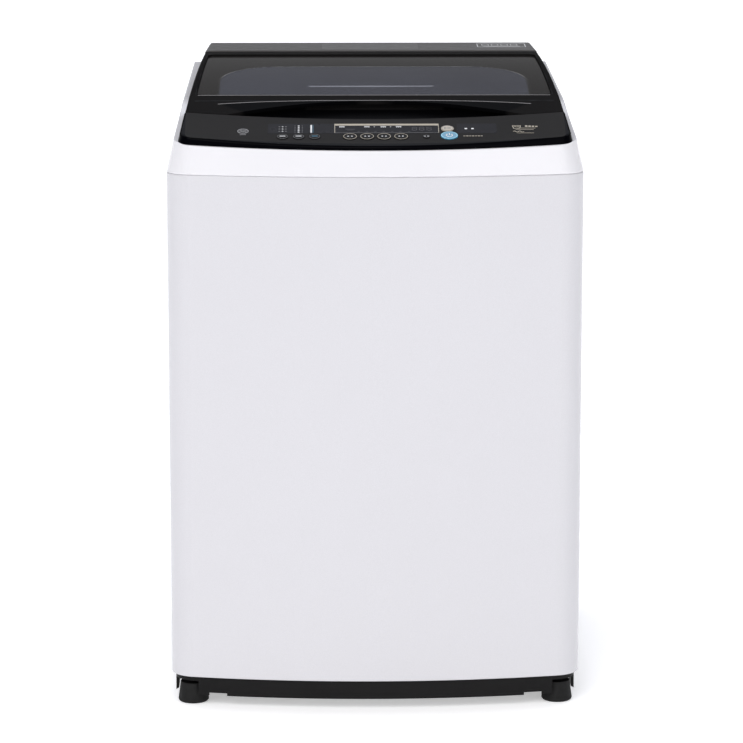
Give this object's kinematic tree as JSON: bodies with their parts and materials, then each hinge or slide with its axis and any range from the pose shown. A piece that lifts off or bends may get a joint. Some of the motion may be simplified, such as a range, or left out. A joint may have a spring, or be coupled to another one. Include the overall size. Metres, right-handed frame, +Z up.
{
  "type": "top load washing machine",
  "caption": "Family-size top loading washing machine with a bowed white cabinet, a sloping black control panel and a hinged smoked window lid over a suspended tub.",
  "frame": {"origin": "on the floor under the middle of the footprint; the wash axis is the Z axis", "axes": "+Z up, +X to the right, the front faces -Y"},
  "size_m": [0.6, 0.61, 0.9163],
  "materials": {
    "white_enamel": "smooth white enamelled steel",
    "rear_steel": "galvanised steel sheet",
    "white_plastic": "glossy white moulded plastic",
    "inner_white": "satin white moulded plastic",
    "base_black": "matt black moulded plastic",
    "foot_rubber": "black rubber",
    "panel_black": "charcoal moulded plastic, satin with gloss edges",
    "deck_grey": "warm dark grey moulded plastic",
    "lid_black": "glossy black moulded plastic",
    "smoked_glass": "smoked tempered glass",
    "lens_black": "black acrylic window",
    "button_black": "charcoal button",
    "button_cream": "cream button",
    "button_blue": "blue button",
    "stainless": "brushed stainless steel",
    "zinc_steel": "zinc plated steel",
    "tub_grey": "grey filled polypropylene",
    "ring_grey": "pale grey plastic",
    "part_black": "black plastic housing",
    "cast_metal": "die-cast aluminium",
    "belt_rubber": "belt rubber"
  },
  "bodies": {
    "root": {"cabinet": "white_enamel", "back_panel": "rear_steel", "rear_screws": "zinc_steel", "drain_outlet": "part_black", "power_cord_gland": "part_black", "base_frame": "base_black", "rear_left_foot": "foot_rubber", "rear_right_foot": "foot_rubber", "foot_lock_nuts": "zinc_steel", "top_frame": "white_plastic", "control_panel": "panel_black", "display_lens": "lens_black", "control_box": "part_black", "rear_deck": "deck_grey", "lid_hinge_pins": "zinc_steel", "detergent_housing": "inner_white", "inlet_valve": "inner_white", "pressure_sensor": "part_black", "suspension_rods": "zinc_steel", "suspension_brackets": "zinc_steel", "suspension_springs": "zinc_steel"},
    "left_foot": {"front_left_foot": "foot_rubber"},
    "right_foot": {"front_right_foot": "foot_rubber"},
    "lid": {"lid_frame": "lid_black", "lid_glass": "smoked_glass", "lid_inner_trim": "part_black", "lid_buffers": "foot_rubber"},
    "drawer": {"detergent_drawer": "inner_white"},
    "tub_unit": {"outer_tub": "tub_grey", "damper_cups": "ring_grey", "tub_ring_cover": "tub_grey", "tub_seal": "foot_rubber", "tub_support": "zinc_steel", "clutch_housing": "cast_metal", "clutch_actuator": "part_black", "drain_valve": "inner_white", "drive_belt": "belt_rubber", "motor": "cast_metal"},
    "brake": {"brake_lever": "zinc_steel"},
    "basket": {"wash_basket": "stainless", "balance_ring": "ring_grey", "basket_flange": "cast_metal", "basket_shaft": "stainless", "lint_filter": "inner_white"},
    "agitator": {"pulsator": "ring_grey", "pulsator_screw": "stainless", "pulsator_shaft": "stainless"},
    "drive_wheel": {"drive_pulley": "cast_metal"},
    "motor_wheel": {"motor_pulley": "cast_metal"},
    "option_button_1_body": {"option_button_1": "button_black"},
    "option_button_2_body": {"option_button_2": "button_black"},
    "option_button_3_body": {"option_button_3": "button_black"},
    "setting_button_1_body": {"setting_button_1": "button_black"},
    "setting_button_2_body": {"setting_button_2": "button_black"},
    "setting_button_3_body": {"setting_button_3": "button_black"},
    "setting_button_4_body": {"setting_button_4": "button_black"},
    "child_lock_button_body": {"child_lock_button": "button_black"},
    "start_button_body": {"start_button": "button_cream"},
    "power_button_body": {"power_button": "button_blue"}
  },
  "joints": [
    {"name": "lid_hinge", "type": "hinge", "parent": "root", "child": "lid", "pos_m": [0, 0.18, 0.9005], "axis": [-1, 0, 0], "range_deg": [0, 95]},
    {"name": "drawer_slide", "type": "slide", "parent": "root", "child": "drawer", "axis": [0, -1, 0], "range_m": [0, 0.085]},
    {"name": "tub_bounce", "type": "slide", "parent": "root", "child": "tub_unit", "axis": [0, 0, 1], "range_m": [-0.015, 0.01], "stiffness_N_per_m": 24000, "springref_m": 0.0106, "deforming": ["suspension_springs"]},
    {"name": "basket_spin", "type": "hinge", "parent": "tub_unit", "child": "basket", "pos_m": [0, 0, 0.3], "axis": [0, 0, 1], "continuous": true},
    {"name": "pulsator_spin", "type": "hinge", "parent": "tub_unit", "child": "agitator", "pos_m": [0, 0, 0.24], "axis": [0, 0, 1], "continuous": true},
    {"name": "drive_pulley_spin", "type": "hinge", "parent": "tub_unit", "child": "drive_wheel", "pos_m": [0, 0, 0.095], "axis": [0, 0, 1], "continuous": true},
    {"name": "motor_pulley_spin", "type": "hinge", "parent": "tub_unit", "child": "motor_wheel", "pos_m": [0.156, 0, 0.095], "axis": [0, 0, 1], "continuous": true},
    {"name": "brake_lever_turn", "type": "hinge", "parent": "tub_unit", "child": "brake", "pos_m": [-0.07, -0.072, 0.142], "axis": [0, 0, 1], "range_deg": [0, 12], "stiffness_Nm_per_rad": 1},
    {"name": "left_foot_screw", "type": "slide", "parent": "root", "child": "left_foot", "axis": [0, 0, -1], "range_m": [0, 0.01]},
    {"name": "right_foot_screw", "type": "slide", "parent": "root", "child": "right_foot", "axis": [0, 0, -1], "range_m": [0, 0.01]},
    {"name": "option_button_1_press", "type": "slide", "parent": "root", "child": "option_button_1_body", "axis": [0, 0.3126, -0.9499], "range_m": [0, 0.0012], "stiffness_N_per_m": 500, "springref_m": -0.001},
    {"name": "option_button_2_press", "type": "slide", "parent": "root", "child": "option_button_2_body", "axis": [0, 0.3126, -0.9499], "range_m": [0, 0.0012], "stiffness_N_per_m": 500, "springref_m": -0.001},
    {"name": "option_button_3_press", "type": "slide", "parent": "root", "child": "option_button_3_body", "axis": [0, 0.3126, -0.9499], "range_m": [0, 0.0012], "stiffness_N_per_m": 500, "springref_m": -0.001},
    {"name": "setting_button_1_press", "type": "slide", "parent": "root", "child": "setting_button_1_body", "axis": [0, 0.3126, -0.9499], "range_m": [0, 0.0012], "stiffness_N_per_m": 500, "springref_m": -0.001},
    {"name": "setting_button_2_press", "type": "slide", "parent": "root", "child": "setting_button_2_body", "axis": [0, 0.3126, -0.9499], "range_m": [0, 0.0012], "stiffness_N_per_m": 500, "springref_m": -0.001},
    {"name": "setting_button_3_press", "type": "slide", "parent": "root", "child": "setting_button_3_body", "axis": [0, 0.3126, -0.9499], "range_m": [0, 0.0012], "stiffness_N_per_m": 500, "springref_m": -0.001},
    {"name": "setting_button_4_press", "type": "slide", "parent": "root", "child": "setting_button_4_body", "axis": [0, 0.3126, -0.9499], "range_m": [0, 0.0012], "stiffness_N_per_m": 500, "springref_m": -0.001},
    {"name": "child_lock_button_press", "type": "slide", "parent": "root", "child": "child_lock_button_body", "axis": [0, 0.3126, -0.9499], "range_m": [0, 0.0012], "stiffness_N_per_m": 500, "springref_m": -0.001},
    {"name": "start_button_press", "type": "slide", "parent": "root", "child": "start_button_body", "axis": [0, 0.3126, -0.9499], "range_m": [0, 0.0012], "stiffness_N_per_m": 500, "springref_m": -0.001},
    {"name": "power_button_press", "type": "slide", "parent": "root", "child": "power_button_body", "axis": [0, 0.3126, -0.9499], "range_m": [0, 0.0012], "stiffness_N_per_m": 500, "springref_m": -0.001}
  ],
  "couplings": [
    {"joint": "drive_pulley_spin", "follows": "pulsator_spin", "ratio": 4},
    {"joint": "motor_pulley_spin", "follows": "pulsator_spin", "ratio": 12.727}
  ]
}
